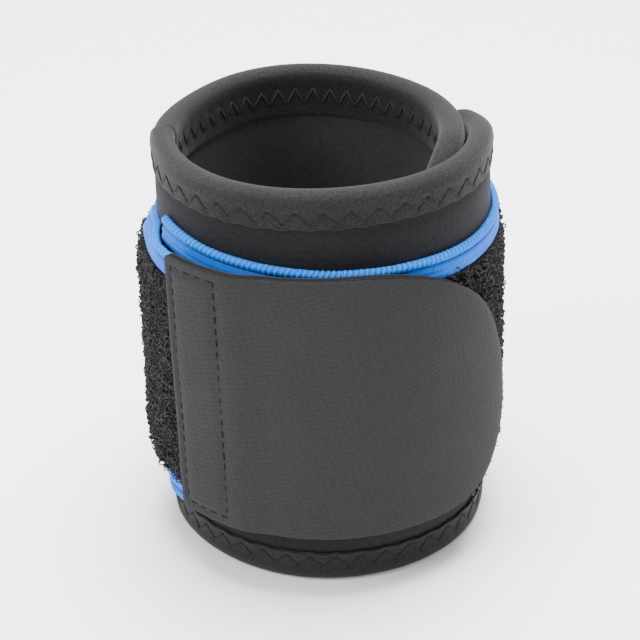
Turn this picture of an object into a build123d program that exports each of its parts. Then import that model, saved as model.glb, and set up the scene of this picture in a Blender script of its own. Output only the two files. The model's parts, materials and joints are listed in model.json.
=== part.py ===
"""Wrap-round wrist support: a padded cuff, an elastic loop band round it and a peel-off hook tab."""

import os
from math import cos, degrees, radians, sin

from build123d import *

os.makedirs("parts", exist_ok=True)

# Sizes are in millimetres and degrees. The origin is the middle of the wrist opening, +Z runs up
# the wrist, and -Y is the side that carries the tab. Everything is wound anticlockwise, so a
# winding angle goes on counting past a full turn. A height is a distance out from the wound wall.

# Cuff panel
HEIGHT = 92.0
WRIST_RADIUS = 27.5
FLAP_GAP = 1.0              # air between the cuff's first layer and the flap over it
CUFF_START = -38.0
CUFF_END = 401.0
LINING_GAUGE = 0.5
FOAM_GAUGE = 3.2
JERSEY_GAUGE = 0.5

# Binding folded over the panel's edges
BINDING_GAUGE = 0.4
BINDING_CREST = 2.0
BINDING_ROUNDING = 1.6
OUTSIDE_LEG = 7.5
INSIDE_LEG = 11.0
END_LEG = 9.0

# Elastic band with its loop pile and coloured edging
BAND_GAP = 0.3              # air between the cuff and the band
BAND_LOW = 15.0             # band's lower edge above the cuff's foot
BAND_WIDTH = 61.0
BAND_GAUGE = 0.8
PILE_GAUGE = 0.8
EDGING_WIDTH = 5.5
EDGING_LIP = 1.0            # edging beyond the edge of the elastic
BAND_START = 206.0
FLAP_CLEARANCE = 3.0        # angle past the flap's end where the band begins to come in
BAND_SETTLES = 480.0
LAP_GAP = 0.5               # air between the band and its own start under it
BAND_FOLD = 535.0           # where the band's free end bends away
FOLD_GAP = 0.5              # angle left free on each side of a fold

# Hook tab
TAB_START = 579.0
TAB_FOLD = 600.0
TAB_END = 701.0
TAB_EASE = 1.0              # how much tighter the tab is wound than the band under its seam
TAB_LOW = 15.0
TAB_WIDTH = 61.0
TAB_SEAM_GAP = 0.05
TAB_BASE_GAUGE = 2.0
HOOK_GAP = 0.1
HOOK_HEIGHT = 0.4
HOOK_TAPE_GAUGE = 0.4
TAB_FOAM_GAUGE = 1.0
TAB_FABRIC_GAUGE = 0.4
TAB_LOW_CORNER = 19.0
TAB_TIP_FLAT = 0.5          # straight stretch of the tip between its two corners
HOOK_MARGIN = 2.5

# Stitching
THREAD = 0.35
INSIDE_THREAD = 0.08        # the inside rows are pulled down almost flush, to stay off the wrist
STITCH_PITCH = 5.1
INSIDE_STITCH_PITCH = 4.2
STITCH_LENGTH = 2.9
STITCH_WIDTH = 0.7
OUTSIDE_STITCH_RISE = 2.3   # from the edge of the binding's outside leg
INSIDE_STITCH_RISE = 4.8    # from the edge of the binding's inside leg
LAP_MARGIN = 6.0            # angle left free of thread where the cuff's two layers lie together
BOX_STITCH_PITCH = 2.7
BOX_STITCH_LENGTH = 1.8
BOX_STITCH_INSET = 2.0
ANCHOR_THREAD = 0.15
ANCHOR_INSET = 2.5

# ---- sizes that follow -------------------------------------------------------------------
FOOT = -HEIGHT / 2
CROWN = HEIGHT / 2
LINING_IN = BINDING_GAUGE
FOAM_IN = LINING_IN + LINING_GAUGE
JERSEY_IN = FOAM_IN + FOAM_GAUGE
JERSEY_OUT = JERSEY_IN + JERSEY_GAUGE
CUFF_OUT = JERSEY_OUT + BINDING_GAUGE
FLAP_PITCH = CUFF_OUT + FLAP_GAP
PANEL_LOW = FOOT + BINDING_CREST
PANEL_HIGH = CROWN - BINDING_CREST

BAND_IN = CUFF_OUT + BAND_GAP
BAND_OUT = BAND_GAUGE + PILE_GAUGE
BAND_FOOT = FOOT + BAND_LOW
BAND_CROWN = BAND_FOOT + BAND_WIDTH
TAB_FOOT = FOOT + TAB_LOW
TAB_CROWN = TAB_FOOT + TAB_WIDTH
TAB_HIGH_CORNER = TAB_WIDTH - TAB_LOW_CORNER - TAB_TIP_FLAT
TAB_BASE_IN = BAND_OUT + TAB_SEAM_GAP
TAB_BASE_OUT = TAB_BASE_IN + TAB_BASE_GAUGE


def wind(x, y, radius, start, turns):
    """Arcs that run on from each other; a turn is where it ends and how the radius changes there."""
    arcs = []
    for end, change in turns:
        arcs.append((start, end, x, y, radius))
        x -= change * cos(radians(end))
        y -= change * sin(radians(end))
        radius += change
        start = end
    return arcs


CUFF = wind(
    0, 0, WRIST_RADIUS, CUFF_START - 10,
    [(180, FLAP_PITCH / 2), (360, FLAP_PITCH / 2), (CUFF_END + 10, 0)],
)

# The band lies on the cuff, steps down past the flap's end and then laps over its own start. Two
# changes of radius bring its centre back to the X axis with the lap gap left at the lap.
LEAVES_FLAP = CUFF_END + FLAP_CLEARANCE
ON_FLAP_RADIUS = WRIST_RADIUS + FLAP_PITCH + BAND_IN
LAP_HEIGHT = BAND_IN + BAND_OUT + LAP_GAP
RATIO = sin(radians(LEAVES_FLAP)) / sin(radians(BAND_SETTLES))
SHARE = (1 + cos(radians(LEAVES_FLAP))) - RATIO * (1 + cos(radians(BAND_SETTLES)))
TIGHTEN = (ON_FLAP_RADIUS - WRIST_RADIUS - LAP_HEIGHT) / SHARE
BAND = wind(
    FLAP_PITCH / 2, 0, WRIST_RADIUS + FLAP_PITCH / 2 + BAND_IN, BAND_START,
    [
        (360, FLAP_PITCH / 2),
        (LEAVES_FLAP, -TIGHTEN),
        (BAND_SETTLES, TIGHTEN * RATIO),
        (TAB_FOLD, -TAB_EASE),
        (TAB_END + 30, 0),
    ],
)


def arc_at(winding, angle):
    """The arc of a winding that holds an angle."""
    for arc in winding:
        if angle <= arc[1]:
            return arc
    return winding[-1]


def place(winding, angle, height):
    """The point at a height above a winding."""
    _, _, x, y, radius = arc_at(winding, angle)
    turn = radians(angle)
    return (x + (radius + height) * cos(turn), y + (radius + height) * sin(turn))


def angle_of(winding, angle, length):
    """The angle that a length along the winding covers there."""
    return degrees(length / arc_at(winding, angle)[4])


def strip(winding, near, far, start, end):
    """The plan of a layer between two heights and two angles."""
    with BuildSketch() as plan:
        with BuildLine():
            for low, high, x, y, radius in winding:
                first, last = max(start, low), min(end, high)
                if first < last:
                    CenterArc((x, y), radius + near, first, last - first)
                    CenterArc((x, y), radius + far, first, last - first)
            Line(place(winding, start, near), place(winding, start, far))
            Line(place(winding, end, near), place(winding, end, far))
        make_face()
    return plan.sketch


def dashes(winding, near, far, start, end, pitch, length):
    """The plan of a row of stitches along a winding."""
    step = angle_of(winding, start, pitch)
    width = angle_of(winding, start, length)
    count = int((end - start - width) / step) + 1
    return [strip(winding, near, far, start + i * step, start + i * step + width) for i in range(count)]


def finish(sub_part, name):
    """Name a finished piece and write it."""
    sub_part.part.label = name
    export_step(sub_part.part, f"parts/{name}.step")


# ---- cuff panel --------------------------------------------------------------------------
with BuildPart() as cuff_foam_core:
    with BuildSketch(Plane.XY.offset(PANEL_LOW)):
        add(strip(CUFF, FOAM_IN, JERSEY_IN, CUFF_START, CUFF_END))
    extrude(amount=PANEL_HIGH - PANEL_LOW)
finish(cuff_foam_core, "cuff_foam_core")

with BuildPart() as cuff_inner_lining:
    with BuildSketch(Plane.XY.offset(PANEL_LOW)):
        add(strip(CUFF, LINING_IN, FOAM_IN, CUFF_START, CUFF_END))
    extrude(amount=PANEL_HIGH - PANEL_LOW)
finish(cuff_inner_lining, "cuff_inner_lining")

with BuildPart() as cuff_outer_jersey:
    with BuildSketch(Plane.XY.offset(PANEL_LOW)):
        add(strip(CUFF, JERSEY_IN, JERSEY_OUT, CUFF_START, CUFF_END))
    extrude(amount=PANEL_HIGH - PANEL_LOW)
finish(cuff_outer_jersey, "cuff_outer_jersey")

# ---- edge binding: a rounded crest with a leg down each face of the panel ------------------
for name, edge, side in (("top_edge_binding", CROWN, -1), ("bottom_edge_binding", FOOT, 1)):
    with BuildPart() as edge_binding:
        with BuildSketch(Plane.XY.offset(edge)):
            add(strip(CUFF, 0, CUFF_OUT, CUFF_START, CUFF_END))
        extrude(amount=side * BINDING_CREST)
        rim = edges().filter_by(GeomType.CIRCLE).group_by(Axis.Z)[-1 if side < 0 else 0]
        fillet(rim, radius=BINDING_ROUNDING)
        with BuildSketch(Plane.XY.offset(edge + side * BINDING_CREST)):
            add(strip(CUFF, 0, LINING_IN, CUFF_START, CUFF_END))
        extrude(amount=side * (INSIDE_LEG - BINDING_CREST))
        with BuildSketch(Plane.XY.offset(edge + side * BINDING_CREST)):
            add(strip(CUFF, JERSEY_OUT, CUFF_OUT, CUFF_START, CUFF_END))
        extrude(amount=side * (OUTSIDE_LEG - BINDING_CREST))
    finish(edge_binding, name)

for name, end, side in (("inside_end_binding", CUFF_START, 1), ("flap_end_binding", CUFF_END, -1)):
    crest_edge = end - side * angle_of(CUFF, end, BINDING_CREST)
    leg_edge = end + side * angle_of(CUFF, end, END_LEG)
    with BuildPart() as end_binding:
        with BuildSketch(Plane.XY.offset(FOOT + BINDING_CREST)):
            add(strip(CUFF, 0, CUFF_OUT, min(end, crest_edge), max(end, crest_edge)))
        extrude(amount=HEIGHT - 2 * BINDING_CREST)
        upright = edges().filter_by(Axis.Z)
        far_side = upright.sort_by_distance(place(CUFF, crest_edge, CUFF_OUT / 2) + (0,))[:2]
        fillet(far_side, radius=BINDING_ROUNDING)
        with BuildSketch(Plane.XY.offset(FOOT + INSIDE_LEG)):
            add(strip(CUFF, 0, LINING_IN, min(end, leg_edge), max(end, leg_edge)))
            add(strip(CUFF, JERSEY_OUT, CUFF_OUT, min(end, leg_edge), max(end, leg_edge)))
        extrude(amount=HEIGHT - 2 * INSIDE_LEG)
    finish(end_binding, name)

# ---- binding stitches: one row near each leg's edge ----------------------------------------
OUTSIDE_ROW = OUTSIDE_LEG - OUTSIDE_STITCH_RISE
INSIDE_ROW = INSIDE_LEG - INSIDE_STITCH_RISE
ROWS = (
    ("top_outside_stitching", CROWN - OUTSIDE_ROW, CUFF_OUT, CUFF_OUT + THREAD, STITCH_PITCH),
    ("top_inside_stitching", CROWN - INSIDE_ROW, -INSIDE_THREAD, 0, INSIDE_STITCH_PITCH),
    ("bottom_outside_stitching", FOOT + OUTSIDE_ROW, CUFF_OUT, CUFF_OUT + THREAD, STITCH_PITCH),
    ("bottom_inside_stitching", FOOT + INSIDE_ROW, -INSIDE_THREAD, 0, INSIDE_STITCH_PITCH),
)
for name, level, near, far, pitch in ROWS:
    outside = near > 0
    start = CUFF_END - 360 + LAP_MARGIN if outside else CUFF_START + LAP_MARGIN
    end = CUFF_END - LAP_MARGIN if outside else CUFF_START + 360 - LAP_MARGIN
    with BuildPart() as stitch_row:
        with BuildSketch(Plane.XY.offset(level - STITCH_WIDTH / 2)):
            add(dashes(CUFF, near, far, start, end, pitch, STITCH_LENGTH))
        extrude(amount=STITCH_WIDTH)
    finish(stitch_row, name)

# ---- elastic band: the part that stays on the cuff and the free end that bends away ---------
BAND_PARTS = (
    ("wrap", BAND_START, BAND_FOLD - FOLD_GAP),
    ("end", BAND_FOLD + FOLD_GAP, TAB_FOLD - FOLD_GAP),
)
for suffix, start, end in BAND_PARTS:
    with BuildPart() as elastic_band:
        with BuildSketch(Plane.XY.offset(BAND_FOOT + EDGING_LIP)):
            add(strip(BAND, 0, BAND_GAUGE, start, end))
        extrude(amount=BAND_WIDTH - 2 * EDGING_LIP)
    finish(elastic_band, f"elastic_band_{suffix}")

    with BuildPart() as loop_pile:
        with BuildSketch(Plane.XY.offset(BAND_FOOT + EDGING_WIDTH)):
            add(strip(BAND, BAND_GAUGE, BAND_OUT, start, end))
        extrude(amount=BAND_WIDTH - 2 * EDGING_WIDTH)
    finish(loop_pile, f"loop_pile_{suffix}")

    for edge_name, edge, side in (("top", BAND_CROWN, -1), ("bottom", BAND_FOOT, 1)):
        with BuildPart() as band_edging:
            with BuildSketch(Plane.XY.offset(edge)):
                add(strip(BAND, 0, BAND_OUT, start, end))
            extrude(amount=side * EDGING_LIP)
            with BuildSketch(Plane.XY.offset(edge + side * EDGING_LIP)):
                add(strip(BAND, BAND_GAUGE, BAND_OUT, start, end))
            extrude(amount=side * (EDGING_WIDTH - EDGING_LIP))
        finish(band_edging, f"{edge_name}_edging_{suffix}")


def stitch_levels(low, high):
    """The levels of an upright row of stitches."""
    count = int((high - low - BOX_STITCH_LENGTH) / BOX_STITCH_PITCH) + 1
    return [low + i * BOX_STITCH_PITCH for i in range(count)]


with BuildPart() as band_anchor_stitching:
    anchor = BAND_START + angle_of(BAND, BAND_START, ANCHOR_INSET)
    wide = angle_of(BAND, BAND_START, STITCH_WIDTH)
    for level in stitch_levels(BAND_FOOT + EDGING_WIDTH, BAND_CROWN - EDGING_WIDTH):
        with BuildSketch(Plane.XY.offset(level)):
            add(strip(BAND, BAND_OUT, BAND_OUT + ANCHOR_THREAD, anchor, anchor + wide))
        extrude(amount=BOX_STITCH_LENGTH)
finish(band_anchor_stitching, "band_anchor_stitching")

# ---- hook tab: the end sewn to the band, and the leaf that peels ----------------------------
with BuildPart() as tab_sewn_base:
    with BuildSketch(Plane.XY.offset(TAB_FOOT)):
        add(strip(BAND, TAB_BASE_IN, TAB_BASE_OUT, TAB_START, TAB_FOLD - FOLD_GAP))
    extrude(amount=TAB_WIDTH)
finish(tab_sewn_base, "tab_sewn_base")

with BuildPart() as tab_box_stitching:
    inset = angle_of(BAND, TAB_START, BOX_STITCH_INSET)
    wide = angle_of(BAND, TAB_START, STITCH_WIDTH)
    first_row = TAB_START + inset
    second_row = TAB_FOLD - FOLD_GAP - inset / 2
    thread = (TAB_BASE_OUT, TAB_BASE_OUT + THREAD)
    box_low = TAB_FOOT + BOX_STITCH_INSET
    box_high = TAB_CROWN - BOX_STITCH_INSET
    for level in stitch_levels(box_low + BOX_STITCH_PITCH, box_high - BOX_STITCH_PITCH):
        with BuildSketch(Plane.XY.offset(level)):
            for row in (first_row, second_row):
                add(strip(BAND, *thread, row - wide, row))
        extrude(amount=BOX_STITCH_LENGTH)
    for level in (box_low, box_high - STITCH_WIDTH):
        with BuildSketch(Plane.XY.offset(level)):
            add(dashes(BAND, *thread, first_row, second_row, BOX_STITCH_PITCH, BOX_STITCH_LENGTH))
        extrude(amount=STITCH_WIDTH)
finish(tab_box_stitching, "tab_box_stitching")

# The leaf's outline is cut square to the middle of its rounded end, where the sheet is seen flat.
TIP_SWEEP = degrees(TAB_HIGH_CORNER / arc_at(BAND, TAB_END)[4])
TIP_VIEW = radians(TAB_END - TIP_SWEEP / 2)
TIP_PLANE = Plane(
    origin=(0, 0, 0),
    x_dir=(-sin(TIP_VIEW), cos(TIP_VIEW), 0),
    z_dir=(cos(TIP_VIEW), sin(TIP_VIEW), 0),
)
TIP_X, TIP_Y = place(BAND, TAB_END, 0)
TIP_REACH = TIP_Y * cos(TIP_VIEW) - TIP_X * sin(TIP_VIEW)
LEAF_DEPTH = 2 * WRIST_RADIUS


def tab_leaf(near, far, margin):
    """A layer of the leaf: upright at its fold, with a large round corner above a smaller one."""
    with BuildPart() as layer:
        with BuildSketch(Plane.XY.offset(TAB_FOOT)):
            add(strip(BAND, near, far, TAB_FOLD + FOLD_GAP, TAB_END + 5))
        extrude(amount=TAB_WIDTH)
        with BuildSketch(TIP_PLANE):
            with BuildLine():
                low, high, reach = TAB_FOOT + margin, TAB_CROWN - margin, TIP_REACH - margin
                small, large = TAB_LOW_CORNER - margin, TAB_HIGH_CORNER - margin
                Line((-LEAF_DEPTH, high), (-LEAF_DEPTH, low))
                Line((-LEAF_DEPTH, low), (reach - small, low))
                CenterArc((reach - small, low + small), small, 270, 90)
                Line((reach, low + small), (reach, high - large))
                CenterArc((reach - large, high - large), large, 0, 90)
                Line((reach - large, high), (-LEAF_DEPTH, high))
            make_face()
        extrude(amount=LEAF_DEPTH, mode=Mode.INTERSECT)
    return layer


HOOK_TAPE_IN = HOOK_GAP + HOOK_HEIGHT
TAB_FOAM_IN = HOOK_TAPE_IN + HOOK_TAPE_GAUGE
TAB_FABRIC_IN = TAB_FOAM_IN + TAB_FOAM_GAUGE
TAB_FABRIC_OUT = TAB_FABRIC_IN + TAB_FABRIC_GAUGE
finish(tab_leaf(HOOK_GAP, HOOK_TAPE_IN, HOOK_MARGIN), "tab_hook_field")
finish(tab_leaf(HOOK_TAPE_IN, TAB_FOAM_IN, 0), "tab_hook_tape")
finish(tab_leaf(TAB_FOAM_IN, TAB_FABRIC_IN, 0), "tab_foam_core")
finish(tab_leaf(TAB_FABRIC_IN, TAB_FABRIC_OUT, 0), "tab_face_fabric")

print("band fold", place(BAND, BAND_FOLD, BAND_OUT))
print("tab fold", place(BAND, TAB_FOLD, TAB_BASE_OUT))
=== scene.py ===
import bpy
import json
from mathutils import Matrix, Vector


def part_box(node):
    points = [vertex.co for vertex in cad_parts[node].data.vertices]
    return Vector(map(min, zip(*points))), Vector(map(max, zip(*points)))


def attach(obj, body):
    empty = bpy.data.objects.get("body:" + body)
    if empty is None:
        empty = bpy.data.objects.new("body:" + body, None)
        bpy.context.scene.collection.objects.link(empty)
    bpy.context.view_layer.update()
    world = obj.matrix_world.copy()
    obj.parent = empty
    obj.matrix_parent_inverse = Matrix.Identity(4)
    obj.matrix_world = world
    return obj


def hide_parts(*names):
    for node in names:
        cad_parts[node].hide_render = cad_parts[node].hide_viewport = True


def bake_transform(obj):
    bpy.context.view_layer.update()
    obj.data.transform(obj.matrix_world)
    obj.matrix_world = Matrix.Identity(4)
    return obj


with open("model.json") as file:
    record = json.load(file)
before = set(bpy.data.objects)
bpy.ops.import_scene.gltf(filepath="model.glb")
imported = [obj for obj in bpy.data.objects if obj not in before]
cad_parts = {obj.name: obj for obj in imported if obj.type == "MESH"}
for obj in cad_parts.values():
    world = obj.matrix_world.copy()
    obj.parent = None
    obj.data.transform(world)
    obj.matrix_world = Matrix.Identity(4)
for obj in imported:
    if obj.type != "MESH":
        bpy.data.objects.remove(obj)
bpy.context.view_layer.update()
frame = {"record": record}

import json
from math import cos, pi, radians, sin

import bmesh
import bpy
import numpy as np
from mathutils import Matrix, Vector

# Lengths are in millimetres until a mesh is made, and the sizes' angles are in degrees. The origin
# is the middle of the wrist opening and +Z runs up the wrist. A height is a distance out from the
# wound wall's inner face, a level is a place up the wrist, and s is a length along the winding.
MM = 0.001
UP = np.array([0, 0, 1.0])
mounts = {mount["name"]: mount for mount in frame["record"]["mounts"]}


def level(node, corner):
    """The lowest (0) or highest (1) level of a CAD node."""
    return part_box(node)[corner][2] / MM


# ---- sizes -------------------------------------------------------------------------------
WRIST_RADIUS = mounts["wrist_opening"]["dims"]["r_mm"]
FOOT, CROWN = level("bottom_edge_binding", 0), level("top_edge_binding", 1)
FLAP_PITCH = 6.0             # how much further out the flap lies than the layer under it
CUFF_START, CUFF_END = -42.0, 404.0
CORNER = 16.0                # round corners of the cuff panel
PANEL_INSET = 1.4            # how far inside the binding's edge the panel's own layers stop
LINING_IN, FOAM_IN, JERSEY_IN, JERSEY_OUT, CUFF_OUT = 0.4, 0.9, 4.1, 4.6, 5.0
OUTSIDE_LEG, INSIDE_LEG = 7.5, 11.0  # how far in the binding reaches on either face
ZIGZAG_PITCH, ZIGZAG_LOW, ZIGZAG_HIGH = 5.1, 6.6, 4.0  # pitch, and depths in of the needle holes
INSIDE_PITCH, INSIDE_LOW, INSIDE_HIGH = 4.2, 8.2, 4.6

BAND_IN = CUFF_OUT + 0.3
BAND_GAUGE, BAND_OUT = 0.8, 1.6
GROUND_INSET, GROUND_OUT = 0.9, BAND_GAUGE + 0.12
BAND_FOOT, BAND_CROWN = level("bottom_edging_wrap", 0), level("top_edging_wrap", 1)
EDGING_WIDTH = 5.5
RIB_PITCH = 1.1
RIDGE = 1.0                  # half the width of the edging's rolled ridge
RIDGE_HEIGHT = 0.8
BAND_START, LEAVES_FLAP, BAND_SETTLES = 206.0, 404.0, 480.0
BAND_PARTING = 505.0         # where the part that stays and the part that bends meet
BAND_FOLD, TAB_START, TAB_FOLD, TAB_END = 535.0, 579.0, 600.0, 701.0
LAP_GAP, TAB_EASE = 0.5, 1.0
PILE_GAP, PRESSED_GAP = 0.78, 1.3  # between the pile's loops, in the open and under the tab
BED_RISE, BED_UNEVEN, BED_MARGIN = 0.55, 0.2, 5.5

TAB_FOOT, TAB_CROWN = level("tab_face_fabric", 0), level("tab_face_fabric", 1)
TAB_BASE_IN, TAB_LEAF_IN = BAND_OUT + 0.05, 0.5
TAB_STEP = 7.0               # length over which the leaf comes down from the band's end
TAPE_GAUGE, TAB_FOAM_GAUGE, TAB_FACE_GAUGE = 0.45, 1.0, 0.55
TAB_GAUGE = TAPE_GAUGE + TAB_FOAM_GAUGE + TAB_FACE_GAUGE
TAB_LOW_CORNER = 19.0
TAB_HIGH_CORNER = TAB_CROWN - TAB_FOOT - TAB_LOW_CORNER - 0.5
FIRST_ROW, LAST_ROW, SEAM_INSET = 2.0, 12.3, 2.2  # the box seam, in from the tab's edges
SEAM_PITCH, SEAM_PULL, SEAM_SPREAD = 2.7, 0.38, 0.75


# ---- the winding -------------------------------------------------------------------------
class Winding:
    """Arcs that run on from each other, walked by their length at a given height."""

    def __init__(self, x, y, radius, start, turns, height, ease):
        self.ease = ease        # the change of height and of level of the cloth at a place
        self.arcs, self.angles, self.lengths = [], [start], [0.0]
        for end, change in turns:
            self.arcs.append((x, y, radius))
            self.lengths.append(self.lengths[-1] + radians(end - self.angles[-1]) * (radius + height))
            self.angles.append(end)
            x -= change * cos(radians(end))
            y -= change * sin(radians(end))
            radius += change
        self.arcs = np.array(self.arcs)

    def length_to(self, angle):
        return float(np.interp(angle, self.angles, self.lengths))

    def angle(self, s):
        return np.radians(np.interp(s, self.lengths, self.angles))

    def at(self, s, height, z):
        """Points at lengths, heights and levels."""
        s, height, z = np.broadcast_arrays(*(np.asarray(part, float) for part in (s, height, z)))
        which = np.clip(np.searchsorted(self.lengths, s, side="right") - 1, 0, len(self.arcs) - 1)
        x, y, radius = np.moveaxis(self.arcs[which], -1, 0)
        turn = self.angle(s)
        lift, rise = self.ease(s, z)
        height, z = height + lift, z + rise
        out = radius + height
        return settle(np.stack([x + out * np.cos(turn), y + out * np.sin(turn), z], -1))

    def outward(self, s):
        turn = self.angle(s)
        return np.stack([np.cos(turn), np.sin(turn), np.zeros_like(turn)], -1)

    def along(self, s):
        turn = self.angle(s)
        return np.stack([-np.sin(turn), np.cos(turn), np.zeros_like(turn)], -1)


def smooth(part):
    """From 0 to 1, eased at both ends."""
    part = np.clip(part, 0, 1)
    return part * part * (3 - 2 * part)


def bell(value, centre, spread):
    """One at a centre, fading away on both sides of it."""
    return np.exp(-(((value - centre) / spread) ** 2))


# Where the soft wall isn't quite round: how far, at which turn, and how widely.
WAVER = 0.2
FLAT, FLAT_AT, FLAT_OVER = 1.3, 148.0, 30.0     # a flatter place at the back
FULL, FULL_AT, FULL_OVER = 0.3, -16.0, 35.0     # a fuller place low down beside the tab's tip
FULL_TOP, FULL_FOOT = 12.0, -44.0
PINCH, PINCH_AT, PINCH_OVER = 0.55, 25.0, 42.0  # a tighter place along the band's upper edge
PINCH_LEVEL, PINCH_REACH = 36.0, 14.0
NIP, NIP_BELOW = 0.55, -20.0                    # the wall draws in towards its foot


def settle(points):
    """The small unevenness of the whole soft support, the same for every layer at a place."""
    x, y, z = np.moveaxis(points, -1, 0)
    turn, radius = np.arctan2(y, x), np.hypot(x, y)
    place = np.degrees(turn)
    give = WAVER * np.sin(3 * turn + z / 24) + 0.5 * WAVER * np.cos(5 * turn - z / 17)
    give -= FLAT * bell(place, FLAT_AT, FLAT_OVER)
    give -= NIP * smooth((NIP_BELOW - z) / (NIP_BELOW - FOOT))
    low_down = smooth((FULL_TOP - z) / 22) * smooth((z - FULL_FOOT) / 12)
    give += FULL * bell(place, FULL_AT, FULL_OVER) * low_down
    give -= PINCH * bell(place, PINCH_AT, PINCH_OVER) * bell(z, PINCH_LEVEL, PINCH_REACH)
    give *= radius / WRIST_RADIUS
    return np.stack([x + give * np.cos(turn), y + give * np.sin(turn), z], -1)


FLAP_LIFT, FLAP_LIFTS_OVER = 0.6, 22.0
TUCK, TUCK_AT, TUCK_OVER = 0.55, 42.0, 30.0     # the layer under the flap's end draws away from it
FLAP_DIP, FLAP_DIPS_OVER = 6.0, 38.0
HELD_TO, FREE_OVER = 30.0, 14.0                 # the band holds the flap up to this level


def flap_lifts(s, z):
    """The flap's end stands a little off the layer under it, and its upper corner hangs lower."""
    past = s - CUFF_LENGTH
    lift = FLAP_LIFT * smooth((past + FLAP_LIFTS_OVER) / FLAP_LIFTS_OVER)
    lift -= TUCK * bell(np.degrees(CUFF.angle(s)), TUCK_AT, TUCK_OVER)
    dip = FLAP_DIP * smooth((past + FLAP_DIPS_OVER) / FLAP_DIPS_OVER)
    return lift * smooth((np.abs(z) - HELD_TO) / FREE_OVER), -dip * smooth(z / CROWN)


CUFF = Winding(
    0, 0, WRIST_RADIUS, CUFF_START,
    [(180, FLAP_PITCH / 2), (360, FLAP_PITCH / 2), (CUFF_END, 0)], CUFF_OUT / 2, flap_lifts,
)
CUFF_LENGTH = CUFF.lengths[-1]

# The band comes in from the flap's radius to the plain wall's over two arcs that meet smoothly.
on_flap_radius = WRIST_RADIUS + FLAP_PITCH + BAND_IN
lap_height = BAND_IN + BAND_OUT + LAP_GAP
ratio = sin(radians(LEAVES_FLAP)) / sin(radians(BAND_SETTLES))
share = (1 + cos(radians(LEAVES_FLAP))) - ratio * (1 + cos(radians(BAND_SETTLES)))
tighten = (on_flap_radius - WRIST_RADIUS - lap_height) / share

LEAN_WIDTH, LEAN_CURVE, LEAN_MOST = 8.0, 1.7, 1.2  # how the band curls in beside its edges
# at an angle along the band: how far in its edges curl, and how much higher its two edges lie
LEAN = ((LEAVES_FLAP, 0.8), (425, 1.2), (490, 4.0), (552, 4.0), (568, 0.5))
TOP_RISE = (
    (206, 3.2), (236, 1.6), (270, 0.0), (300, -0.8), (325, -1.6), (360, -2.1),
    (400, -1.6), (470, -1.2), (545, -2.0), (577, -2.1), (584, -3.4), (600, -3.4),
)
FOOT_RISE = ((206, 0.5), (330, -0.5), (470, -1.0), (555, -2.4), (577, -2.2), (584, -0.5))


def band_curls(s, z):
    """The band's edges curl in to what is under them, and it winds a little downwards."""
    angle = np.degrees(BAND.angle(s))
    lean, top, foot = (np.interp(angle, *zip(*places)) for places in (LEAN, TOP_RISE, FOOT_RISE))
    edge = np.minimum(BAND_CROWN - z, z - BAND_FOOT) / LEAN_WIDTH
    rise = foot + (top - foot) * np.clip((z - BAND_FOOT) / (BAND_CROWN - BAND_FOOT), 0, 1)
    return -lean * np.clip(1 - edge, 0, LEAN_MOST) ** LEAN_CURVE, rise


def lies_flat(s, z):
    """The padded tab keeps its shape."""
    return 0, 0


def band_winding(ease):
    return Winding(
        FLAP_PITCH / 2, 0, WRIST_RADIUS + FLAP_PITCH / 2 + BAND_IN, BAND_START,
        [
            (360, FLAP_PITCH / 2), (LEAVES_FLAP, -tighten), (BAND_SETTLES, tighten * ratio),
            (TAB_FOLD, -TAB_EASE), (TAB_END, 0),
        ],
        0, ease,
    )


BAND, TAB = band_winding(band_curls), band_winding(lies_flat)
BAND_SPANS = {
    "wrap": (0.0, BAND.length_to(BAND_PARTING)),
    "lead": (BAND.length_to(BAND_PARTING), BAND.length_to(TAB_FOLD) - 0.5),
}
TAB_AT, FOLD_AT, TIP_AT = (BAND.length_to(angle) for angle in (TAB_START, TAB_FOLD, TAB_END))


# ---- finishes ----------------------------------------------------------------------------
SHEEN, SHINE = 0.03, 0.08
ONE_WAVE = 0.314             # a wave's length at scale 1


def add_node(tree, kind, inputs=None, **settings):
    """A node with its settings, and its inputs linked or filled in."""
    made = tree.nodes.new(kind)
    for key, value in settings.items():
        setattr(made, key, value)
    for key, value in (inputs or {}).items():
        if isinstance(value, bpy.types.NodeSocket):
            tree.links.new(value, made.inputs[key])
        else:
            made.inputs[key].default_value = value
    return made


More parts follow.
